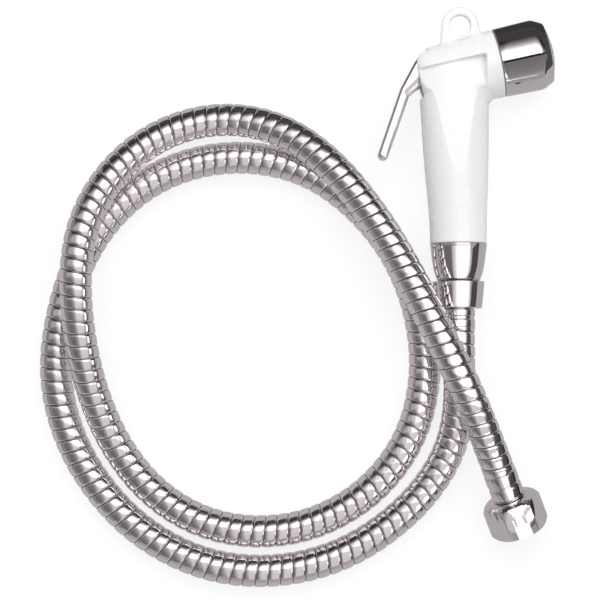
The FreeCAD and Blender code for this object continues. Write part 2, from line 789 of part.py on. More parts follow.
# Trigger
def trigger_lever():
    """A bar that bends round the back of the head, with a lug for the pin and a nose on the stem."""
    nose = cell("stem_reach") + gap
    tilt = math.radians(SIZES["head_tilt"])

    def on_nose(across):
        """A point of the nose's face, square to the head axis."""
        x = nose * -math.cos(tilt) - across * math.sin(tilt)
        y = cell("head_height") - nose * math.sin(tilt) + across * math.cos(tilt)
        return x, y

    pivot_x = cell("pivot_x")
    pivot_y = cell("pivot_y")

    def on_lug(angle):
        """A point of the lug's rim, at an angle from the X axis."""
        turn = math.radians(SIZES[angle])
        return pivot_x + cell("lug_r") * math.cos(turn), pivot_y + cell("lug_r") * math.sin(turn)

    heel = (pivot_x - cell("heel_reach"), pivot_y - cell("heel_drop"))
    knee = (pivot_x - cell("knee_reach"), pivot_y - cell("knee_drop"))
    tip = (pivot_x - cell("tip_reach"), pivot_y - cell("tip_drop"))
    tip_inner = (tip[0] + cell("bar_across"), tip[1])
    knee_inner = (knee[0] + cell("bar_across") - cell("bar_top_thinner"), knee[1] - cell("knee_inner_drop"))
    crotch = (knee_inner[0] + cell("crotch_across"), knee_inner[1] + cell("crotch_rise"))
    body = padded("lever_blank", [
        (pivot_x, pivot_y),
        on_lug("lug_back_angle"),
        heel,
        knee,
        tip,
        tip_inner,
        knee_inner,
        crotch,
        on_nose(-cell("nose_half")),
        on_nose(cell("nose_half")),
        on_lug("lug_front_angle"),
    ], cell("lever_half"))
    rounded(body, upright_at(*tip), cell("bar_across") * 0.45, "tip_out")
    rounded(body, upright_at(*tip_inner), cell("bar_across") * 0.4, "tip_in")
    rounded(body, upright_at(*knee), cell("bar_across") * 2, "knee_out")
    rounded(body, upright_at(*heel), cell("bar_across"), "heel_out")

    def on_the_bar(edge, middle):
        """The bar's long edges, on both of its faces."""
        on_face = abs(abs(middle.z) - SIZES["lever_half"]) < 0.01
        return on_face and middle.y < heel[1].value and middle.x < knee_inner[0].value

    rounded(body, on_the_bar, cell("bar_edge_round"), "bar_edges")
    lug = block("lug", "Part::Cylinder", {"Radius": cell("lug_r"), "Height": 2 * cell("lever_half")})
    lug.Placement = Placement(Vector(pivot_x.value, pivot_y.value, -SIZES["lever_half"]), Rotation())
    hole = block("lug_hole", "Part::Cylinder", {"Radius": cell("pin_r") + fit, "Height": 2 * cell("beyond")})
    hole.Placement = Placement(Vector(pivot_x.value, pivot_y.value, -SIZES["beyond"]), Rotation())
    return joined("trigger_lever", [taken("bar_with_hole", body, [hole]), taken("lug_with_hole", lug, [hole])])


def lever_pin():
    pin = block("lever_pin", "Part::Cylinder", {"Radius": cell("pin_r"), "Height": 2 * cell("pin_reach")})
    pin.Placement = Placement(Vector(SIZES["pivot_x"], SIZES["pivot_y"], -SIZES["pin_reach"]), Rotation())
    return pin


# Pieces of the hose at the handset, on the handle axis
NUT_TOP = -gap
NUT_FOOT = NUT_TOP - cell("nut_length")
WASHER_TOP = -cell("tail_end") - fit
NIPPLE_TOP = WASHER_TOP - cell("washer_thick") - fit
FERRULE_TOP = NUT_FOOT - 2 * fit
HOSE_START = FERRULE_TOP - cell("ferrule_length") - 2 * fit


def handset_nut():
    body = turned("handset_nut", [
        (NUT_TOP, cell("thread_bore_r")),
        (NUT_TOP, cell("nut_top_r")),
        (NUT_FOOT, cell("nut_foot_r")),
        (NUT_FOOT, cell("neck_tube_r") + gap),
        (NUT_FOOT + cell("nut_floor"), cell("neck_tube_r") + gap),
        (NUT_FOOT + cell("nut_floor"), cell("thread_bore_r")),
    ], "Y")
    return rounded(body, circle_at(NUT_FOOT, cell("nut_foot_r"), "Y"), 2 * gap)


def handset_washer():
    return turned("handset_washer", [
        (WASHER_TOP, cell("washer_hole_r")),
        (WASHER_TOP, cell("washer_r")),
        (WASHER_TOP - cell("washer_thick"), cell("washer_r")),
        (WASHER_TOP - cell("washer_thick"), cell("washer_hole_r")),
    ], "Y")


def handset_nipple():
    under = NIPPLE_TOP - cell("flange_thick")
    return turned("handset_nipple", [
        (NIPPLE_TOP, cell("neck_bore_r")),
        (NIPPLE_TOP, cell("washer_r")),
        (under, cell("washer_r")),
        (under, cell("neck_tube_r")),
        (HOSE_START + 2 * fit, cell("neck_tube_r")),
        (HOSE_START + 2 * fit, cell("neck_bore_r")),
    ], "Y")


def ferrule_profile(start, length, way):
    """A crimped sleeve with a bevelled end and one rolled groove; way is 1 or -1 along its axis."""
    outer = cell("ferrule_r")
    inner = cell("neck_tube_r") + fit
    step = cell("ferrule_groove")
    middle = start + way * 0.5 * length
    return [
        (start, inner),
        (start, outer - 2 * step),
        (start + way * 2 * step, outer),
        (middle - way * 2.5 * step, outer),
        (middle - way * 1.5 * step, outer - step),
        (middle + way * 1.5 * step, outer - step),
        (middle + way * 2.5 * step, outer),
        (start + way * length, outer),
        (start + way * length, inner),
    ]


def handset_ferrule():
    return turned("handset_ferrule", ferrule_profile(FERRULE_TOP, cell("ferrule_length"), -1), "Y")


# Hose: its route on the floor, from the handset's ferrule to the supply ferrule. Across and up are measured
# from the handle axis and the foot of the collar, height is measured from the floor.
ROUTE = [
    (0.0, -36.5, 16.4),
    (0.9, -53.2, 13.2),
    (-1.6, -73.6, 9.2),
    (-11.0, -92.7, 7.5),
    (-28.2, -111.3, 7.5),
    (-53.3, -127.5, 7.5),
    (-84.0, -135.3, 7.5),
    (-116.0, -132.6, 7.5),
    (-144.8, -118.7, 7.5),
    (-166.8, -97.3, 7.5),
    (-181.7, -71.3, 7.5),
    (-187.9, -43.9, 7.5),
    (-185.2, -17.3, 7.5),
    (-177.4, 8.3, 7.5),
    (-164.4, 29.8, 7.5),
    (-144.8, 47.2, 7.5),
    (-120.5, 57.0, 7.5),
    (-93.9, 58.8, 7.5),
    (-67.7, 51.8, 7.5),
    (-46.2, 36.2, 7.5),
    (-28.0, 13.9, 7.5),
    (-16.9, -14.1, 7.5),
    (-14.1, -43.9, 7.5),
    (-21.2, -73.2, 7.5),
    (-39.3, -97.3, 7.5),
    (-64.9, -112.6, 7.5),
    (-92.8, -117.3, 7.5),
    (-119.8, -112.2, 7.5),
    (-142.6, -97.8, 7.5),
    (-159.3, -76.4, 8.6),
    (-169.4, -51.8, 15.0),
    (-174.8, -26.4, 22.0),
    (-176.9, 0.1, 24.6),
    (-173.9, 25.0, 23.6),
    (-162.8, 47.0, 20.4),
    (-145.7, 63.9, 16.2),
    (-124.5, 73.8, 14.0),
    (-101.2, 75.8, 14.4),
    (-77.6, 68.6, 18.8),
    (-56.5, 51.6, 22.8),
    (-37.5, 27.2, 24.2),
    (-23.0, 1.8, 27.4),
    (-11.4, -22.0, 31.0),
    (-0.5, -43.4, 31.4),
    (9.2, -65.3, 28.0),
    (18.1, -87.6, 20.7),
]


# The part of each straight run that the arc at its end takes up
ARC_SHARE = 0.45


def route_points():
    """The route in the handset's frame, whose middle plane lies sleeve_r above the floor."""
    mid = SIZES["sleeve_r"]
    points = [Vector(0, HOSE_START.value, 0)]
    points += [Vector(across, up, height - mid) for across, up, height in ROUTE]
    return points


def hose():
    """A plain tube: straight runs joined by the largest tangent arcs that their lengths allow."""
    points = route_points()
    radii = []
    edges = []
    last = points[0]
    for before, corner, after in zip(points, points[1:], points[2:]):
        run_in = corner - before
        run_out = after - corner
        share = ARC_SHARE * min(run_in.Length, run_out.Length)
        turn = run_in.getAngle(run_out)
        radius = share / math.tan(turn / 2)
        radii.append(radius)
        start = corner - Vector(run_in).normalize() * share
        end = corner + Vector(run_out).normalize() * share
        towards = (Vector(run_out).normalize() - Vector(run_in).normalize()).normalize()
        middle = corner + towards * (radius / math.cos(turn / 2) - radius)
        edges.append(Part.LineSegment(last, start).toShape())
        edges.append(Part.Arc(start, middle, end).toShape())
        last = end
    edges.append(Part.LineSegment(last, points[-1]).toShape())
    path = Part.Wire(edges)
    first = (points[1] - points[0]).normalize()
    ring = Part.Wire([Part.makeCircle(SIZES["hose_r"], points[0], first)])
    tube = path.makePipeShell([ring], True, False)
    length = sum(edge.Length for edge in edges)
    swept = math.pi * SIZES["hose_r"] ** 2 * length
    print("hose length %.1f, radii %.0f to %.0f, volume share %.4f"
          % (length, min(radii), max(radii), tube.Volume / swept))
    print("radii", " ".join("%.0f" % radius for radius in radii))
    if abs(tube.Volume / swept - 1) > 0.01:
        raise RuntimeError("the hose's volume is off its section times its length")
    thing = doc.addObject("Part::Feature", "hose")
    thing.Shape = tube
    return thing


# Pieces of the supply end, along the hose's last run
def supply_frame():
    """The end of the hose: x runs on along it, and z points up, square to it."""
    points = route_points()
    ahead = (points[-1] - points[-2]).normalize()
    across = Vector(0, 0, 1).cross(ahead).normalize()
    return Placement(points[-1], Rotation(ahead, across, ahead.cross(across), "XYZ"))


NUT_BACK = cell("supply_ferrule_length") + 2 * fit + gap
FLANGE_SEAT = NUT_BACK + cell("hex_wall") + gap
WASHER_BACK = FLANGE_SEAT + cell("flange_thick") + fit


def supply_ferrule():
    return turned("supply_ferrule", ferrule_profile(2 * fit, cell("supply_ferrule_length"), 1))


def supply_nipple():
    return turned("supply_nipple", [
        (2 * fit, cell("neck_bore_r")),
        (2 * fit, cell("neck_tube_r")),
        (FLANGE_SEAT, cell("neck_tube_r")),
        (FLANGE_SEAT, cell("washer_r")),
        (FLANGE_SEAT + cell("flange_thick"), cell("washer_r")),
        (FLANGE_SEAT + cell("flange_thick"), cell("neck_bore_r")),
    ])


def supply_washer():
    return turned("supply_washer", [
        (WASHER_BACK, cell("washer_hole_r")),
        (WASHER_BACK, cell("washer_r")),
        (WASHER_BACK + cell("washer_thick"), cell("washer_r")),
        (WASHER_BACK + cell("washer_thick"), cell("washer_hole_r")),
    ])


def supply_nut():
    """A hexagon nut with domed ends, its back wall round the nipple's neck and its mouth open."""
    body = new_body("hex_blank")
    half = cell("hex_flats") * 0.5
    corner = cell("hex_flats") * (1 / math.sqrt(3))
    sketch = polygon(body, "hex_outline", [
        (corner, 0),
        (corner * 0.5, half),
        (-corner * 0.5, half),
        (-corner, 0),
        (-corner * 0.5, -half),
        (corner * 0.5, -half),
    ], "YZ_Plane")
    pad = body.newObject("PartDesign::Pad", "hex_pad")
    pad.Profile = sketch
    drive(pad, "Length", cell("hex_length"))
    doc.recompute()
    body.Placement = Placement(Vector(NUT_BACK.value, 0, 0), Rotation())
    front = NUT_BACK + cell("hex_length")
    dome = turned("hex_dome", [
        (NUT_BACK, 0),
        (NUT_BACK, cell("hex_back_r")),
        (NUT_BACK + cell("hex_bevel"), cell("hex_end_r") + cell("hex_shoulder")),
        (NUT_BACK + 2 * cell("hex_bevel"), cell("hex_edge_r")),
        (front - cell("hex_bevel"), cell("hex_edge_r")),
        (front, cell("hex_end_r")),
        (front, 0),
    ])
    blank = doc.addObject("Part::MultiCommon", "hex_form")
    blank.Shapes = [body, dome]
    bore = turned("hex_bore", [
        (NUT_BACK - cell("overrun"), 0),
        (NUT_BACK - cell("overrun"), cell("neck_tube_r") + 2 * fit),
        (NUT_BACK + cell("hex_wall"), cell("neck_tube_r") + 2 * fit),
        (NUT_BACK + cell("hex_wall"), cell("washer_seat_r")),
        (front - cell("thread_length"), cell("washer_seat_r")),
        (front - cell("thread_length"), cell("hex_bore_r")),
        (front + cell("overrun"), cell("hex_bore_r")),
        (front + cell("overrun"), 0),
    ])
    return taken("supply_nut", blank, [bore])


HANDLE_PIECES = [handle_collar, inlet_tail, tail_seal, handset_nut, handset_washer, handset_nipple, handset_ferrule]
HEAD_PIECES = [stem_gland, valve_seat, valve_disc, valve_stem, head_seal, head_sleeve]
PLACED_PIECES = [handset_body, stem_rings, seat_ring, valve_spring, spring_holder, spray_plate, trigger_lever,
                 lever_pin, hose]
SUPPLY_PIECES = [supply_ferrule, supply_nipple, supply_washer, supply_nut]
ON_THE_HOSE = ["handset_nut", "handset_washer", "handset_nipple", "handset_ferrule", "hose", "supply_ferrule",
               "supply_nipple", "supply_washer", "supply_nut"]
for make in HANDLE_PIECES + PLACED_PIECES:
    piece = make()
    node(piece.Name, piece)
for make in HEAD_PIECES:
    piece = make()
    piece.Placement = along_head()
    node(piece.Name, piece)
for make in SUPPLY_PIECES:
    piece = make()
    piece.Placement = supply_frame().multiply(piece.Placement)
    node(piece.Name, piece)
doc.recompute()

for thing in doc.Objects:
    if "Invalid" in thing.State or "Error" in thing.State:
        raise RuntimeError(f"{thing.Name} failed: {thing.State}")

# Stance: the handset's own box is centred over the origin and the whole lies on the floor
box = FreeCAD.BoundBox()
for label, piece in NODES.items():
    if label not in ON_THE_HOSE:
        box.add(piece.Shape.optimalBoundingBox(True, False))
stance = {"stance_x": -(box.XMin + box.XMax) / 2, "stance_y": -(box.YMin + box.YMax) / 2,
          "stance_z": SIZES["sleeve_r"]}
for row, (alias, number) in enumerate(stance.items(), start=len(SIZES) + 1):
    sheet.set(f"B{row}", f"{number:.3f}")
doc.recompute()
step = Vector(*(round(number, 3) for number in stance.values()))
print("stance", step)

os.makedirs("parts", exist_ok=True)
for label, piece in NODES.items():
    shape = piece.Shape.copy()
    shape.translate(step)
    if shape.isNull() or not shape.isValid():
        raise RuntimeError(f"{label} has no valid shape")
    shape.exportStep(f"parts/{label}.step")
    print(label, len(shape.Solids), "solids, %.1f mm3" % shape.Volume)
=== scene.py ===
"""A handheld bidet shower laid out on white: a trigger handset with a chrome head, and its metal hose."""
import json
import math

import bpy
import numpy
from mathutils import Matrix, Vector


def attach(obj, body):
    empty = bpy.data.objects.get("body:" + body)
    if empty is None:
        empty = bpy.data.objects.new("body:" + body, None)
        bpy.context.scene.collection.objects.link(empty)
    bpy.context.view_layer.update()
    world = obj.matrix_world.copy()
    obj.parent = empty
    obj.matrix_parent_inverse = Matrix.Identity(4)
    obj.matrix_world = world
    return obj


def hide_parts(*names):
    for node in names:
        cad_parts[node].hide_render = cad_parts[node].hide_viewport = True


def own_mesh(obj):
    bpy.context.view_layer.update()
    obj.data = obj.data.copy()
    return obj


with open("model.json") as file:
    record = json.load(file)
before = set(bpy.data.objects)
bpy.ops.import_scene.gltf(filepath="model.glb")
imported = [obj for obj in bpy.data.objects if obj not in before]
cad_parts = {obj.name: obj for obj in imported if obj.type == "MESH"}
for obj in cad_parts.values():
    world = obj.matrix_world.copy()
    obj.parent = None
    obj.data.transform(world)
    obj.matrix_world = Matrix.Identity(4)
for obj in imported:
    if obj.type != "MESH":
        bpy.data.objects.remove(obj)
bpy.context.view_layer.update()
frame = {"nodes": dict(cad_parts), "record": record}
NODES = frame["nodes"]

MM = 0.001

# Where the handset's own drawing sits in the frame: the foot of its collar, on the handle axis
FOOT = Vector((-3.776, -59.65, 16.4)) * MM
HEAD_TILT = math.radians(12.4)
HEAD_RISE = 97.0
HEAD_START = FOOT + Vector((0, HEAD_RISE, 0)) * MM

# Hose: the route across and up from the collar's foot, and its height above the floor
HOSE_EXIT = (0.0, -21.4, 16.4)
HOSE_ROUTE = [
    (0.0, -36.5, 16.4), (0.9, -53.2, 13.2), (-1.6, -73.6, 9.2), (-11.0, -92.7, 7.5),
    (-28.2, -111.3, 7.5), (-53.3, -127.5, 7.5), (-84.0, -135.3, 7.5), (-116.0, -132.6, 7.5),
    (-144.8, -118.7, 7.5), (-166.8, -97.3, 7.5), (-181.7, -71.3, 7.5), (-187.9, -43.9, 7.5),
    (-185.2, -17.3, 7.5), (-177.4, 8.3, 7.5), (-164.4, 29.8, 7.5), (-144.8, 47.2, 7.5),
    (-120.5, 57.0, 7.5), (-93.9, 58.8, 7.5), (-67.7, 51.8, 7.5), (-46.2, 36.2, 7.5),
    (-28.0, 13.9, 7.5), (-16.9, -14.1, 7.5), (-14.1, -43.9, 7.5), (-21.2, -73.2, 7.5),
    (-39.3, -97.3, 7.5), (-64.9, -112.6, 7.5), (-92.8, -117.3, 7.5), (-119.8, -112.2, 7.5),
    (-142.6, -97.8, 7.5), (-159.3, -76.4, 8.6), (-169.4, -51.8, 15.0), (-174.8, -26.4, 22.0),
    (-176.9, 0.1, 24.6), (-173.9, 25.0, 23.6), (-162.8, 47.0, 20.4), (-145.7, 63.9, 16.2),
    (-124.5, 73.8, 14.0), (-101.2, 75.8, 14.4), (-77.6, 68.6, 18.8), (-56.5, 51.6, 22.8),
    (-37.5, 27.2, 24.2), (-23.0, 1.8, 27.4), (-11.4, -22.0, 31.0), (-0.5, -43.4, 31.4),
    (9.2, -65.3, 28.0), (18.1, -87.6, 20.7),
]
HOSE_R = 7.5 * MM

# The wound strip: one turn's width, how deep its groove is, and how the section falls from crown to groove
HOSE_PITCH = 5.6 * MM
HOSE_GROOVE = 0.85 * MM
CROWN_SHARE = 0.28
CROWN_POWER = 2.4
LIP_SHARE = 0.72
LIP_POWER = 16
HOSE_STEPS = 12
HOSE_SIDES = 32

# How many sides a turned piece has, how wide its worn edges are, and from what angle, in degrees, an edge is
# worn or shows as sharp
TURNED_SIDES = 128
EDGE_WEAR = 0.25 * MM
WORN_ANGLE = 28
SHARP_ANGLE = 35

# The camera looks down on the layout, nearly straight
CAMERA_TARGET = Vector((-77.07, -67.86, 0)) * MM
CAMERA_DISTANCE = 1.0
CAMERA_ELEVATION = math.radians(88)
CAMERA_LENS = 127.66
CAMERA_SENSOR = 36.0

# The world's even light, and how white and how bright the floor shows
EVEN_LIGHT = 0.61
FLOOR_WHITE_SHARE = 0.75
FLOOR_GLOW = 1.06

# The cards that show in reflections: how far off the walls stand, and how high the ceiling is
WALL = 2.2
CEILING = 1.1


# Shader nodes
def new_material(name):
    """A material with only its Principled shader and its output."""
    made = bpy.data.materials.new(name)
    made.use_nodes = True
    tree = made.node_tree
    shader = tree.nodes["Principled BSDF"]
    return made, tree, shader


def add_node(tree, kind, **values):
    """A shader node with its inputs set by name; values with a leading at_ are properties."""
    made = tree.nodes.new(kind)
    for key, value in values.items():
        if key.startswith("at_"):
            setattr(made, key[3:], value)
        else:
            made.inputs[key.replace("_", " ")].default_value = value
    return made


def surface_group():
    """Fine handling marks: soft smudges in the gloss and a very slight unevenness of the surface."""
    group = bpy.data.node_groups.new("Handled surface", "ShaderNodeTree")
    face = group.interface
    face.new_socket("Base roughness", in_out="INPUT", socket_type="NodeSocketFloat")
    face.new_socket("Smudge", in_out="INPUT", socket_type="NodeSocketFloat")
    face.new_socket("Grain size", in_out="INPUT", socket_type="NodeSocketFloat")
    face.new_socket("Grain height", in_out="INPUT", socket_type="NodeSocketFloat")
    face.new_socket("Roughness", in_out="OUTPUT", socket_type="NodeSocketFloat")
    face.new_socket("Height", in_out="OUTPUT", socket_type="NodeSocketFloat")
    face.new_socket("Mask", in_out="OUTPUT", socket_type="NodeSocketFloat")
    start = group.nodes.new("NodeGroupInput")
    end = group.nodes.new("NodeGroupOutput")
    place = group.nodes.new("ShaderNodeTexCoord")
    smudge = add_node(group, "ShaderNodeTexNoise", Scale=55.0, Detail=3.0, Roughness=0.6)
    grain = add_node(group, "ShaderNodeTexNoise", Detail=2.0, Roughness=0.5)
    times = add_node(group, "ShaderNodeMath", at_operation="MULTIPLY")
    total = add_node(group, "ShaderNodeMath", at_operation="ADD")
    lift = add_node(group, "ShaderNodeMath", at_operation="MULTIPLY")
    link = group.links.new
    link(place.outputs["Object"], smudge.inputs["Vector"])
    link(place.outputs["Object"], grain.inputs["Vector"])
    link(start.outputs["Grain size"], grain.inputs["Scale"])
    link(smudge.outputs["Fac"], times.inputs[0])
    link(start.outputs["Smudge"], times.inputs[1])
    link(times.outputs[0], total.inputs[0])
    link(start.outputs["Base roughness"], total.inputs[1])
    link(grain.outputs["Fac"], lift.inputs[0])
    link(start.outputs["Grain height"], lift.inputs[1])
    link(total.outputs[0], end.inputs["Roughness"])
    link(lift.outputs[0], end.inputs["Height"])
    link(smudge.outputs["Fac"], end.inputs["Mask"])
    return group


HANDLED = surface_group()


def handled(tree, shader, rough, smudge, grain_size, grain_height, reach):
    """Puts the shared surface marks on one material."""
    marks = tree.nodes.new("ShaderNodeGroup")
    marks.node_tree = HANDLED
    for key, value in (("Base roughness", rough), ("Smudge", smudge), ("Grain size", grain_size),
                       ("Grain height", grain_height)):
        marks.inputs[key].default_value = value
    bump = add_node(tree, "ShaderNodeBump", Strength=1.0, Distance=reach)
    tree.links.new(marks.outputs["Roughness"], shader.inputs["Roughness"])
    tree.links.new(marks.outputs["Height"], bump.inputs["Height"])
    tree.links.new(bump.outputs["Normal"], shader.inputs["Normal"])
    return marks


def tinted(tree, shader, mask, dark, light):
    """Lets the base colour drift between two near tones over the surface."""
    blend = add_node(tree, "ShaderNodeMix", at_data_type="RGBA")
    blend.inputs[6].default_value = (*dark, 1)
    blend.inputs[7].default_value = (*light, 1)
    tree.links.new(mask, blend.inputs[0])
    tree.links.new(blend.outputs[2], shader.inputs["Base Color"])


def plated_chrome():
    made, tree, shader = new_material("Plated chrome")
    shader.inputs["Metallic"].default_value = 1.0
    marks = handled(tree, shader, rough=0.035, smudge=0.05, grain_size=700.0, grain_height=0.35, reach=0.00002)
    tinted(tree, shader, marks.outputs["Mask"], (0.74, 0.72, 0.735), (0.82, 0.80, 0.815))
    return made


def wound_steel():
    """The hose's strip: plated steel, with painted shade, its base colour darkened to near black where one
    turn dips under the next.
    """
    made, tree, shader = new_material("Wound steel strip")
    shader.inputs["Metallic"].default_value = 1.0
    marks = handled(tree, shader, rough=0.05, smudge=0.1, grain_size=1500.0, grain_height=0.4, reach=0.00002)
    tone = add_node(tree, "ShaderNodeMix", at_data_type="RGBA")
    tone.inputs[6].default_value = (0.82, 0.785, 0.805, 1)
    tone.inputs[7].default_value = (0.93, 0.895, 0.915, 1)
    # Painted shade: towards each groove between turns the base colour is mixed to near black, standing in for
    # the shade there
    place = add_node(tree, "ShaderNodeAttribute", at_attribute_name="towards_groove")
    groove_shade_share = add_node(tree, "ShaderNodeMapRange", at_interpolation_type="SMOOTHSTEP")
    for key, value in (("From Min", 0.84), ("From Max", 1.0), ("To Min", 0.0), ("To Max", 0.9)):
        groove_shade_share.inputs[key].default_value = value
    # The near-black colour of the painted groove shade
    dark = add_node(tree, "ShaderNodeMix", at_data_type="RGBA")
    dark.inputs[7].default_value = (0.035, 0.03, 0.033, 1)
    link = tree.links.new
    link(marks.outputs["Mask"], tone.inputs[0])
    link(place.outputs["Fac"], groove_shade_share.inputs["Value"])
    link(groove_shade_share.outputs["Result"], dark.inputs[0])
    link(tone.outputs[2], dark.inputs[6])
    link(dark.outputs[2], shader.inputs["Base Color"])
    return made


def turned_brass():
    made, tree, shader = new_material("Turned brass")
    shader.inputs["Metallic"].default_value = 1.0
    marks = handled(tree, shader, rough=0.2, smudge=0.15, grain_size=2500.0, grain_height=0.5, reach=0.00003)
    tinted(tree, shader, marks.outputs["Mask"], (0.68, 0.50, 0.24), (0.80, 0.63, 0.34))
    return made


def drawn_steel():
    made, tree, shader = new_material("Drawn steel")
    shader.inputs["Metallic"].default_value = 1.0
    marks = handled(tree, shader, rough=0.24, smudge=0.12, grain_size=3000.0, grain_height=0.5, reach=0.00003)
    tinted(tree, shader, marks.outputs["Mask"], (0.52, 0.52, 0.53), (0.64, 0.64, 0.65))
    return made


def moulded_white():
    """The handset's glossy white moulding."""
    made, tree, shader = new_material("Glossy white moulding")
    shader.inputs["IOR"].default_value = 1.49
    shader.inputs["Coat Weight"].default_value = 0.25
    shader.inputs["Coat Roughness"].default_value = 0.08
    shader.inputs["Subsurface Weight"].default_value = 0.12
    shader.inputs["Subsurface Radius"].default_value = (1.0, 0.95, 0.9)
    shader.inputs["Subsurface Scale"].default_value = 0.002
    marks = handled(tree, shader, rough=0.22, smudge=0.1, grain_size=900.0, grain_height=0.5, reach=0.00003)
    tinted(tree, shader, marks.outputs["Mask"], (0.84, 0.84, 0.84), (0.88, 0.88, 0.88))
    return made


def black_rubber():
    made, tree, shader = new_material("Black rubber")
    marks = handled(tree, shader, rough=0.55, smudge=0.2, grain_size=2000.0, grain_height=1.0, reach=0.00005)
    tinted(tree, shader, marks.outputs["Mask"], (0.02, 0.02, 0.021), (0.045, 0.045, 0.046))
    return made


def inner_moulding():
    made, tree, shader = new_material("Grey inner moulding")
    marks = handled(tree, shader, rough=0.42, smudge=0.15, grain_size=1500.0, grain_height=0.8, reach=0.00004)
    tinted(tree, shader, marks.outputs["Mask"], (0.60, 0.61, 0.61), (0.70, 0.71, 0.71))
    return made


CHROME = plated_chrome()
HOSE_STEEL = wound_steel()
WHITE = moulded_white()
FINISH_OF_SLOT = {
    "white_plastic": WHITE,
    "chrome": CHROME,
    "hose_steel": HOSE_STEEL,
    "brass": turned_brass(),
    "black_rubber": black_rubber(),
    "steel": drawn_steel(),
    "inner_plastic": inner_moulding(),
}
SLOT_OF_NODE = {row["node"]: row["material_slot"] for row in frame["record"]["subparts"]}
for name, thing in NODES.items():
    thing.data.materials.clear()
    thing.data.materials.append(FINISH_OF_SLOT[SLOT_OF_NODE[name]])


def start_afresh():
    """Nothing selected, object mode."""
    if bpy.context.object and bpy.context.object.mode != "OBJECT":
        bpy.ops.object.mode_set(mode="OBJECT")
    bpy.ops.object.select_all(action="DESELECT")


def finish_piece(thing, name, node, body, sharp=SHARP_ANGLE):
    """Names a finished piece, smooths its faces and lets it stand for its CAD node."""
    thing.name = name
    thing.data.name = name
    start_afresh()
    thing.select_set(True)
    bpy.context.view_layer.objects.active = thing
    bpy.ops.object.transform_apply(location=True, rotation=True, scale=True)
    bpy.ops.object.shade_smooth_by_angle(angle=math.radians(sharp))
    slot = SLOT_OF_NODE[node]
    thing.data.materials.clear()
    thing.data.materials.append(FINISH_OF_SLOT[slot])
    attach(thing, body)
    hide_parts(node)
    return thing


def apply_modifier(thing, kind, **values):
    """Adds one modifier with its values and applies it."""
    start_afresh()
    thing.select_set(True)
    bpy.context.view_layer.objects.active = thing
    made = thing.modifiers.new(kind.lower(), kind)
    for key, value in values.items():
        setattr(made, key, value)
    bpy.ops.object.modifier_apply(modifier=made.name)


def merged_copy(node):
    """A copy of a CAD node's mesh, with its loose triangles joined."""
    start_afresh()
    mesh = NODES[node].data.copy()
    thing = bpy.data.objects.new(node + "_copy", mesh)
    bpy.context.scene.collection.objects.link(thing)
    thing.select_set(True)
    bpy.context.view_layer.objects.active = thing
    bpy.ops.object.mode_set(mode="EDIT")
    bpy.ops.mesh.select_all(action="SELECT")
    bpy.ops.mesh.remove_doubles(threshold=0.000002)
    bpy.ops.object.mode_set(mode="OBJECT")
    return thing


# The white moulding, in millimetres from the collar's foot. Handle: height, radius, shift towards the trigger
HANDLE_RINGS = [
    (17.25, 13.09, 0.0), (20.0, 13.08, 0.03), (25.0, 13.18, 0.1), (30.0, 13.38, 0.2), (36.0, 13.72, 0.34),
    (42.0, 14.1, 0.5), (50.0, 14.6, 0.76), (60.0, 15.11, 1.1), (70.0, 15.5, 1.4), (80.0, 15.81, 1.66),
    (88.0, 16.1, 1.9), (97.0, 16.6, 2.4),
]
HANDLE_HEIGHTS, HANDLE_RADII, HANDLE_SHIFTS = zip(*HANDLE_RINGS)
HANDLE_RADIUS = numpy.polyfit(HANDLE_HEIGHTS, HANDLE_RADII, 6)
HANDLE_SHIFT = numpy.polyfit(HANDLE_HEIGHTS, HANDLE_SHIFTS, 4)
HANDLE_SPAN = (18.0, 84.0)
HANDLE_INSIDE = 10.0

# Side panels: bowed along the handle and crowned across it, and the point where a panel starts
PANEL_BOW = 430.0
PANEL_CROWN = 45.0
PANEL_LEAN = math.radians(3.75)
PANEL_START = Vector((-1.0, 33.0, 13.56))
PANEL_MIDDLE = PANEL_START + PANEL_BOW * Vector((0, math.sin(PANEL_LEAN), -math.cos(PANEL_LEAN)))
PANEL_SPAN = (36.0, 101.0)
PANEL_INSIDE = 8.0

# Barrel: a cone along the head's axis
BARREL_BACK = -18.6
BARREL_LENGTH = 37.6
BARREL_BACK_R = 13.6
BARREL_FRONT_R = 15.9
BARREL_SPAN = (-12.0, 18.5)

# A point this near to a true surface is moved onto it, and one this far stays
NEAR = 0.16
FAR = 0.4

# The size that the moulding is remeshed at
VOXEL = 0.48 * MM


def pull(length, true_length):
    """What a length is multiplied by: all the way to its true length when near, unchanged when far."""
    share = min(max((FAR - abs(length - true_length)) / (FAR - NEAR), 0.0), 1.0)
    return 1 + (true_length / length - 1) * share


def on_handle(spot):
    """A point near the handle's round surface, moved onto it, or None."""
    x, y, z = spot
    if not HANDLE_SPAN[0] < y < HANDLE_SPAN[1]:
        return None
    shift = numpy.polyval(HANDLE_SHIFT, y)
    radius = numpy.polyval(HANDLE_RADIUS, y)
    reach = math.hypot(x + shift, z)
    if reach <= HANDLE_INSIDE or abs(reach - radius) >= FAR:
        return None
    scale = pull(reach, radius)
    return Vector(((x + shift) * scale - shift, y, z * scale))


def on_panel(spot):
    """A point near a side panel, moved onto it, or None."""
    x, y, z = spot
    if not PANEL_SPAN[0] < y < PANEL_SPAN[1] or abs(z) <= PANEL_INSIDE:
        return None
    off = Vector((x, y, abs(z))) - PANEL_MIDDLE
    ring = Vector((0, off.y, off.z)).normalized() * (PANEL_BOW - PANEL_CROWN)
    arm = off - ring
    if abs(arm.length - PANEL_CROWN) >= FAR:
        return None
    moved = PANEL_MIDDLE + ring + arm * pull(arm.length, PANEL_CROWN)
    return Vector((moved.x, moved.y, math.copysign(moved.z, z)))


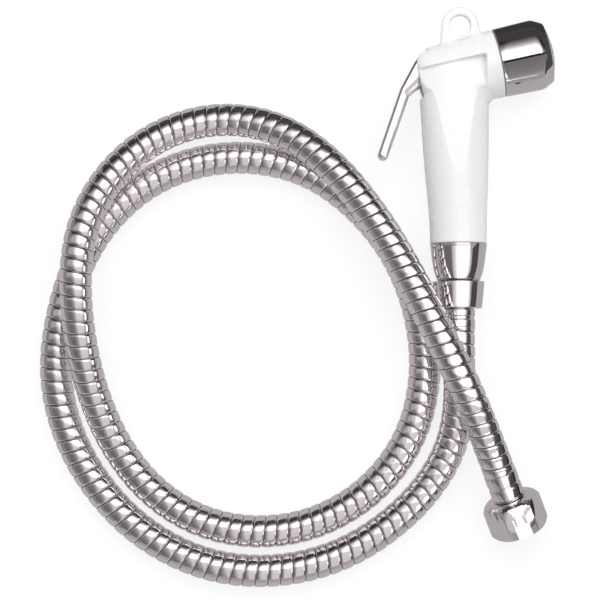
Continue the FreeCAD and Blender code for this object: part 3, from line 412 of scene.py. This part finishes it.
def on_barrel(spot):
    """A point near the head's barrel, moved onto it, or None."""
    x, y, z = spot
    head = Matrix.Rotation(-HEAD_TILT, 3, "Z") @ Vector((x, y - HEAD_RISE, z))
    if not BARREL_SPAN[0] < head.x < BARREL_SPAN[1]:
        return None
    reach = math.hypot(head.y, head.z)
    radius = BARREL_BACK_R + (BARREL_FRONT_R - BARREL_BACK_R) * (head.x - BARREL_BACK) / BARREL_LENGTH
    if abs(reach - radius) >= FAR:
        return None
    scale = pull(reach, radius)
    head = Vector((head.x, head.y * scale, head.z * scale))
    return Matrix.Rotation(HEAD_TILT, 3, "Z") @ head + Vector((0, HEAD_RISE, 0))


def true_surface(spot):
    """The point, moved onto the first of the true surfaces that it is near."""
    return on_handle(spot) or on_panel(spot) or on_barrel(spot) or spot


moulding = merged_copy("handset_body")
apply_modifier(moulding, "REMESH", mode="VOXEL", voxel_size=VOXEL, adaptivity=0.0)
apply_modifier(moulding, "SMOOTH", factor=0.5, iterations=5)
for vertex in moulding.data.vertices:
    vertex.co = FOOT + true_surface((vertex.co - FOOT) / MM) * MM
finish_piece(moulding, "white_moulding", "handset_body", "handset", sharp=80)

# The trigger, the spray plate and the hexagon nut keep their CAD shape with smooth faces
finish_piece(merged_copy("trigger_lever"), "trigger_bar", "trigger_lever", "trigger", sharp=32)
finish_piece(merged_copy("spray_plate"), "spray_face", "spray_plate", "handset", sharp=32)
hexagon_nut = finish_piece(merged_copy("supply_nut"), "hexagon_nut", "supply_nut", "supply_nut", sharp=28)

# The return spring keeps its CAD shape with smooth faces, on a mesh of its own
spring = finish_piece(merged_copy("valve_spring"), "return_spring", "valve_spring", "handset", sharp=40)
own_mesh(spring)


# Turned chrome pieces
def turned_piece(profile, place, turn):
    """Raises a turned piece ring by ring from its (along, radius) profile and closes it into a solid ring."""
    start_afresh()
    along, radius = profile[0]
    bpy.ops.mesh.primitive_circle_add(vertices=TURNED_SIDES, radius=radius * MM, location=(0, 0, 0))
    thing = bpy.context.object
    bpy.ops.object.mode_set(mode="EDIT")
    bpy.ops.mesh.select_all(action="SELECT")
    bpy.ops.transform.translate(value=(0, 0, along * MM))
    for next_along, next_radius in profile[1:]:
        rise = (next_along - along) * MM
        scale = next_radius / radius
        bpy.ops.mesh.extrude_region_move(TRANSFORM_OT_translate={"value": (0, 0, rise)})
        bpy.ops.transform.resize(value=(scale, scale, 1), center_override=(0, 0, 0))
        along, radius = next_along, next_radius
    bpy.ops.mesh.select_all(action="SELECT")
    bpy.ops.mesh.region_to_loop()
    bpy.ops.mesh.bridge_edge_loops()
    bpy.ops.mesh.select_all(action="SELECT")
    bpy.ops.mesh.normals_make_consistent(inside=False)
    bpy.ops.object.mode_set(mode="OBJECT")
    thing.matrix_world = Matrix.Translation(place) @ turn
    apply_modifier(thing, "BEVEL", width=EDGE_WEAR, segments=3, limit_method="ANGLE",
                   angle_limit=math.radians(WORN_ANGLE), use_clamp_overlap=True)
    return thing


ALONG_HEAD = Matrix.Rotation(HEAD_TILT, 4, "Z") @ Matrix.Rotation(math.radians(90), 4, "Y")
UP_HANDLE = Matrix.Rotation(math.radians(-90), 4, "X")

# The sleeve's front edge is an arc that ends in a short cone
SHOULDER = (36.2, 16.33)
SHOULDER_R = 5.7
SHOULDER_TURN = math.radians(26.6)
SHOULDER_STEPS = 8
shoulder = []
for step in range(SHOULDER_STEPS + 1):
    bend = SHOULDER_TURN * step / SHOULDER_STEPS
    shoulder.append((SHOULDER[0] + SHOULDER_R * math.sin(bend),
                     SHOULDER[1] - SHOULDER_R * (1 - math.cos(bend))))
sleeve = turned_piece([
    (19.3, 13.6), (19.3, 15.9), (24.0, 16.03), (29.0, 16.16), (34.0, 16.29), *shoulder, (42.4, 13.9),
    (42.4, 13.05), (40.2, 13.05), (40.2, 12.0), (39.0, 12.0), (37.2, 14.3), (30.1, 14.3), (30.1, 11.0),
    (28.55, 11.0), (28.55, 13.6),
], HEAD_START, ALONG_HEAD)
finish_piece(sleeve, "chrome_sleeve", "head_sleeve", "handset")

collar = turned_piece([
    (0, 6.25), (0, 9.8), (1.2, 10.26), (2.5, 10.72), (3.8, 11.13), (5.0, 11.47), (7.0, 11.86), (9.5, 12.23),
    (12.0, 12.54), (14.4, 12.82), (17.2, 13.2), (17.2, 8.45), (1.7, 8.45), (1.7, 6.25),
], FOOT, UP_HANDLE)
finish_piece(collar, "chrome_collar", "handle_collar", "handset")

cone_nut = turned_piece([
    (-0.3, 9.95), (-0.3, 12.0), (-4.0, 11.64), (-8.0, 11.25), (-12.0, 10.86), (-12.4, 10.7), (-12.6, 10.3),
    (-12.6, 5.5), (-11.05, 5.5), (-11.05, 9.95),
], FOOT, UP_HANDLE)
finish_piece(cone_nut, "cone_nut", "handset_nut", "handset")

# Ferrules: the bore's and the sleeve's radius, the bevel, and the rolled groove's depth and half widths
FERRULE_BORE = 5.3
FERRULE_R = 7.6
FERRULE_BEVEL = 0.8
GROOVE_DEPTH = 0.4
GROOVE_TOP = 1.0
GROOVE_FOOT = 0.6


def ferrule_rings(start, length, way):
    """A crimped ferrule's profile, with one rolled groove at its middle; way is 1 or -1 along its axis."""
    middle = start + way * length / 2
    end = start + way * length
    return [
        (start, FERRULE_BORE), (start, FERRULE_R - FERRULE_BEVEL), (start + way * FERRULE_BEVEL, FERRULE_R),
        (middle - way * GROOVE_TOP, FERRULE_R), (middle - way * GROOVE_FOOT, FERRULE_R - GROOVE_DEPTH),
        (middle + way * GROOVE_FOOT, FERRULE_R - GROOVE_DEPTH), (middle + way * GROOVE_TOP, FERRULE_R),
        (end, FERRULE_R), (end, FERRULE_BORE),
    ]


near_ferrule = turned_piece(ferrule_rings(start=-12.7, length=8.6, way=-1), FOOT, UP_HANDLE)
finish_piece(near_ferrule, "near_ferrule", "handset_ferrule", "handset")


def route_point(across, up, height):
    """A point of the hose's route, in metres in the frame."""
    return Vector((FOOT.x + across * MM, FOOT.y + up * MM, height * MM))


HOSE_END = route_point(*HOSE_ROUTE[-1])
OUT_OF_HOSE = (HOSE_END - route_point(*HOSE_ROUTE[-2])).to_track_quat("Z", "Y").to_matrix().to_4x4()
far_ferrule = turned_piece(ferrule_rings(start=0.1, length=13.2, way=1), HOSE_END, OUT_OF_HOSE)
finish_piece(far_ferrule, "far_ferrule", "supply_ferrule", "handset")


# Hose
def route_curve():
    """The route's own smooth line: a NURBS spline over the chosen points."""
    curve = bpy.data.curves.new("hose_line", "CURVE")
    curve.dimensions = "3D"
    curve.resolution_u = 24
    spline = curve.splines.new("NURBS")
    points = [HOSE_EXIT] + HOSE_ROUTE
    spline.points.add(len(points) - 1)
    for spot, place in zip(spline.points, points):
        spot.co = (*route_point(*place), 1)
    spline.order_u = 3
    spline.use_endpoint_u = True
    thing = bpy.data.objects.new("hose_line", curve)
    bpy.context.scene.collection.objects.link(thing)
    line = bpy.data.meshes.new_from_object(thing)
    found = [vertex.co.copy() for vertex in line.vertices]
    bpy.data.objects.remove(thing)
    bpy.data.meshes.remove(line)
    return found


class Line:
    """A polyline that gives its point and frame at any length along it."""

    def __init__(self, points):
        self.points = points
        self.at = [0.0]
        for a, b in zip(points, points[1:]):
            self.at.append(self.at[-1] + (b - a).length)
        self.length = self.at[-1]
        self.ahead = []
        for k in range(len(points)):
            before = points[max(k - 1, 0)]
            after = points[min(k + 1, len(points) - 1)]
            self.ahead.append((after - before).normalized())
        side = self.ahead[0].cross(Vector((0, 0, 1))).normalized()
        self.side = []
        for way in self.ahead:
            side = (side - way * side.dot(way)).normalized()
            self.side.append(side)
        self.last = 0

    def frame(self, reach):
        """Point, side and up vectors at a length along the line."""
        reach = min(max(reach, 0.0), self.length)
        k = self.last
        while k > 0 and self.at[k] > reach:
            k -= 1
        while k < len(self.at) - 2 and self.at[k + 1] < reach:
            k += 1
        self.last = k
        share = (reach - self.at[k]) / max(self.at[k + 1] - self.at[k], 1e-9)
        spot = self.points[k].lerp(self.points[k + 1], share)
        way = self.ahead[k].lerp(self.ahead[k + 1], share).normalized()
        side = self.side[k].lerp(self.side[k + 1], share)
        side = (side - way * side.dot(way)).normalized()
        return spot, side, side.cross(way)


def strip_radius(phase):
    """The section of one turn of the strip: a broad low crown, with a narrow groove at each side."""
    off = abs(2 * phase - 1)
    return HOSE_R - HOSE_GROOVE * (CROWN_SHARE * off ** CROWN_POWER + LIP_SHARE * off ** LIP_POWER)


def wound_hose(line):
    """The strip wound as one helix: each row of the mesh follows the groove once round."""
    turns = int(line.length / HOSE_PITCH) + 1
    rows = (turns + 1) * HOSE_STEPS
    vertices = []
    depths = []
    for row in range(rows + HOSE_STEPS + 1):
        phase = (row % HOSE_STEPS) / HOSE_STEPS
        radius = strip_radius(phase)
        depths += [abs(2 * phase - 1)] * HOSE_SIDES
        for side in range(HOSE_SIDES):
            angle = 2 * math.pi * side / HOSE_SIDES
            reach = (row / HOSE_STEPS - 1 + side / HOSE_SIDES) * HOSE_PITCH
            spot, across, up = line.frame(reach)
            vertices.append(spot + (across * math.cos(angle) + up * math.sin(angle)) * radius)
    faces = []
    for row in range(rows):
        for side in range(HOSE_SIDES):
            after = side + 1
            low = row * HOSE_SIDES
            if after < HOSE_SIDES:
                corners = [low + side, low + HOSE_SIDES + side, low + HOSE_SIDES + after, low + after]
            else:
                turn = (row + HOSE_STEPS) * HOSE_SIDES
                corners = [low + side, low + HOSE_SIDES + side, turn + HOSE_SIDES, turn]
            faces.append(corners)
    mesh = bpy.data.meshes.new("wound_hose")
    mesh.from_pydata(vertices, [], faces)
    # How far each point lies towards the groove; the strip's material reads it for its painted groove shade
    towards_groove = mesh.attributes.new("towards_groove", "FLOAT", "POINT")
    for spot, depth in zip(towards_groove.data, depths):
        spot.value = depth
    thing = bpy.data.objects.new("wound_hose", mesh)
    bpy.context.scene.collection.objects.link(thing)
    start_afresh()
    thing.select_set(True)
    bpy.context.view_layer.objects.active = thing
    bpy.ops.object.mode_set(mode="EDIT")
    bpy.ops.mesh.select_all(action="SELECT")
    bpy.ops.mesh.delete_loose()
    bpy.ops.mesh.select_all(action="SELECT")
    bpy.ops.mesh.remove_doubles(threshold=0.00001)
    bpy.ops.mesh.select_all(action="SELECT")
    bpy.ops.mesh.normals_make_consistent(inside=False)
    bpy.ops.object.mode_set(mode="OBJECT")
    bpy.ops.object.shade_smooth()
    thing.data.materials.append(HOSE_STEEL)
    return thing


hose_line = Line(route_curve())
hose = wound_hose(hose_line)
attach(hose, "handset")
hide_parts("hose")


# Floor, world, lamps and camera
def background_mix(tree, share):
    """How far a surface shows as plain white to the camera and in reflections."""
    path = tree.nodes.new("ShaderNodeLightPath")
    first = add_node(tree, "ShaderNodeMath", at_operation="MAXIMUM")
    second = add_node(tree, "ShaderNodeMath", at_operation="MAXIMUM")
    times = add_node(tree, "ShaderNodeMath", at_operation="MULTIPLY")
    times.inputs[1].default_value = share
    tree.links.new(path.outputs["Is Camera Ray"], first.inputs[0])
    tree.links.new(path.outputs["Is Glossy Ray"], first.inputs[1])
    tree.links.new(first.outputs[0], second.inputs[0])
    tree.links.new(path.outputs["Is Transmission Ray"], second.inputs[1])
    tree.links.new(second.outputs[0], times.inputs[0])
    return times.outputs[0]


def white_floor():
    start_afresh()
    bpy.ops.mesh.primitive_plane_add(size=6.0, location=(0, 0, 0))
    floor = bpy.context.object
    floor.name = "floor"
    made = bpy.data.materials.new("White paper")
    made.use_nodes = True
    tree = made.node_tree
    tree.nodes.clear()
    matt = add_node(tree, "ShaderNodeBsdfDiffuse", Color=(0.97, 0.97, 0.97, 1))
    glow = add_node(tree, "ShaderNodeEmission", Color=(1, 1, 1, 1), Strength=FLOOR_GLOW)
    blend = tree.nodes.new("ShaderNodeMixShader")
    out = tree.nodes.new("ShaderNodeOutputMaterial")
    tree.links.new(background_mix(tree, FLOOR_WHITE_SHARE), blend.inputs[0])
    tree.links.new(matt.outputs[0], blend.inputs[1])
    tree.links.new(glow.outputs[0], blend.inputs[2])
    tree.links.new(blend.outputs[0], out.inputs["Surface"])
    floor.data.materials.append(made)


def studio_world():
    """White for the camera and in reflections, even light for matt surfaces."""
    world = bpy.data.worlds.new("Studio")
    bpy.context.scene.world = world
    world.use_nodes = True
    tree = world.node_tree
    tree.nodes.clear()
    even = add_node(tree, "ShaderNodeBackground", Color=(1, 1, 1, 1), Strength=EVEN_LIGHT)
    white = add_node(tree, "ShaderNodeBackground", Color=(1, 1, 1, 1), Strength=1.0)
    blend = tree.nodes.new("ShaderNodeMixShader")
    out = tree.nodes.new("ShaderNodeOutputWorld")
    tree.links.new(background_mix(tree, 1.0), blend.inputs[0])
    tree.links.new(even.outputs[0], blend.inputs[1])
    tree.links.new(white.outputs[0], blend.inputs[2])
    tree.links.new(blend.outputs[0], out.inputs["Surface"])


# The cards' faint mauve
CARD_TINT = (1.0, 0.95, 0.975, 1)

# How bright a card is across and up its face, as shares of its tone
LEVEL = [(0.0, 1.0), (1.0, 1.0)]
SKY_ACROSS = [(0.0, 0.22), (0.33, 0.24), (0.382, 0.38), (0.43, 0.56), (0.465, 1.0), (0.69, 1.0), (0.77, 0.5),
              (0.889, 0.18), (0.977, 0.09), (1.0, 0.07)]
SKY_UP = [(0.0, 0.36), (0.295, 0.36), (0.46, 0.4), (0.484, 0.5), (0.5, 0.8), (0.52, 1.0), (0.612, 1.0),
          (0.66, 0.5), (0.71, 0.26), (0.78, 0.12), (0.88, 0.045), (1.0, 0.03)]
HEAD_UP = [(0.0, 0.5), (0.4, 0.3), (0.9, 0.2), (0.955, 0.19), (0.962, 0.02), (1.0, 0.02)]
COLLAR_ACROSS = [(0.0, 0.24), (0.08, 0.36), (0.17, 0.54), (0.245, 1.0), (0.63, 1.0), (0.775, 0.5),
                 (0.98, 0.18), (1.0, 0.16)]


def brightness(tree, place, stops):
    """A value that runs through its stops along one direction of a card."""
    ramp = tree.nodes.new("ShaderNodeValToRGB")
    elements = ramp.color_ramp.elements
    while len(elements) < len(stops):
        elements.new(0.5)
    for element, (share, _) in zip(elements, stops):
        element.position = share
    for element, (_, value) in zip(elements, stops):
        element.color = (value, value, value, 1)
    shift = add_node(tree, "ShaderNodeMath", at_operation="ADD")
    shift.inputs[1].default_value = 0.5
    tree.links.new(place, shift.inputs[0])
    tree.links.new(shift.outputs[0], ramp.inputs[0])
    return ramp.outputs[0]


def card(name, place, width, height, tone, aim=None, across=LEVEL, up=LEVEL, turn=0.0):
    """A flat card that only shows in the object's reflections. Without an aim it faces straight down."""
    start_afresh()
    bpy.ops.mesh.primitive_plane_add(size=1.0, location=place)
    thing = bpy.context.object
    thing.name = name
    thing.scale = (width, height, 1)
    way = Vector(aim) - Vector(place) if aim else Vector((0, 0, -1))
    thing.rotation_euler = way.to_track_quat("-Z", "Y").to_euler()
    thing.rotation_euler.rotate_axis("Z", turn)
    made = bpy.data.materials.new(name)
    made.use_nodes = True
    tree = made.node_tree
    tree.nodes.clear()
    glow = add_node(tree, "ShaderNodeEmission", Color=CARD_TINT, Strength=tone)
    out = tree.nodes.new("ShaderNodeOutputMaterial")
    tree.links.new(glow.outputs[0], out.inputs["Surface"])
    if across is not LEVEL or up is not LEVEL:
        spot = tree.nodes.new("ShaderNodeTexCoord")
        split = tree.nodes.new("ShaderNodeSeparateXYZ")
        both = add_node(tree, "ShaderNodeMath", at_operation="MULTIPLY")
        total = add_node(tree, "ShaderNodeMath", at_operation="MULTIPLY")
        total.inputs[1].default_value = tone
        tree.links.new(spot.outputs["Object"], split.inputs[0])
        tree.links.new(brightness(tree, split.outputs["X"], across), both.inputs[0])
        tree.links.new(brightness(tree, split.outputs["Y"], up), both.inputs[1])
        tree.links.new(both.outputs[0], total.inputs[0])
        tree.links.new(total.outputs[0], glow.inputs["Strength"])
    thing.data.materials.append(made)
    thing.visible_camera = False
    thing.visible_diffuse = False
    thing.visible_shadow = False
    thing.visible_transmission = False


def area_lamp(name, place, aim, width, height, watts):
    lamp = bpy.data.lights.new(name, "AREA")
    lamp.shape = "RECTANGLE"
    lamp.size = width
    lamp.size_y = height
    lamp.energy = watts
    thing = bpy.data.objects.new(name, lamp)
    bpy.context.scene.collection.objects.link(thing)
    thing.location = place
    thing.rotation_euler = (Vector(aim) - Vector(place)).to_track_quat("-Z", "Y").to_euler()
    return thing


def camera():
    lens = bpy.data.cameras.new("camera")
    lens.sensor_width = CAMERA_SENSOR
    lens.lens = CAMERA_LENS
    lens.clip_start = 0.01
    lens.clip_end = 20
    thing = bpy.data.objects.new("camera", lens)
    bpy.context.scene.collection.objects.link(thing)
    back = Vector((0, -math.cos(CAMERA_ELEVATION), math.sin(CAMERA_ELEVATION)))
    thing.location = CAMERA_TARGET + back * CAMERA_DISTANCE
    thing.rotation_euler = (-back).to_track_quat("-Z", "Y").to_euler()
    bpy.context.scene.camera = thing


bpy.context.scene.view_settings.view_transform = "Standard"
white_floor()
studio_world()
softbox = area_lamp("softbox", (0.0, 0.52, 1.1), aim=(0, 0, 0), width=1.5, height=1.35, watts=10.8)
softbox.visible_glossy = False

# A closed room of cards: the sky with its bright window, four walls, and the floor with its dark side
card("sky", (0, 0, CEILING), width=2 * WALL, height=2 * WALL, tone=1.9, across=SKY_ACROSS, up=SKY_UP)
for name, x, y, tone in (("wall_right", WALL, 0, 0.08), ("wall_top", 0, WALL, 0.06),
                         ("wall_left", -WALL, 0, 0.25), ("wall_foot", 0, -WALL, 0.4)):
    card(name, (x, y, CEILING / 2), width=2 * WALL, height=CEILING, tone=tone, aim=(0, 0, CEILING / 2))
card("grey_floor", (-0.07, -0.07, 0.0006), width=4.2, height=4.2, tone=0.5)
card("dark_floor", (0.03, 0.17, 0.0009), width=0.3, height=0.2, tone=0.05)
card("dark_floor_far", (0.03, 1.2, 0.0009), width=4.2, height=1.9, tone=0.07)

# Near cards over the sleeve, the collar and the hose's end
card("over_head", (0.0603, -0.0001, 0.055), width=0.08, height=0.095, tone=1.0, up=HEAD_UP, turn=HEAD_TILT)
card("over_collar", (0.035, -0.0905, 0.11), width=0.19, height=0.081, tone=1.9, across=COLLAR_ACROSS)
card("over_end", (0.071, -0.22, 0.11), width=0.084, height=0.08, tone=1.9, turn=0.38)
card("dark_by_end", (0.075, -0.14, 0.02), width=0.08, height=0.02, tone=0.03, aim=(0.01, -0.155, 0.02))
camera()
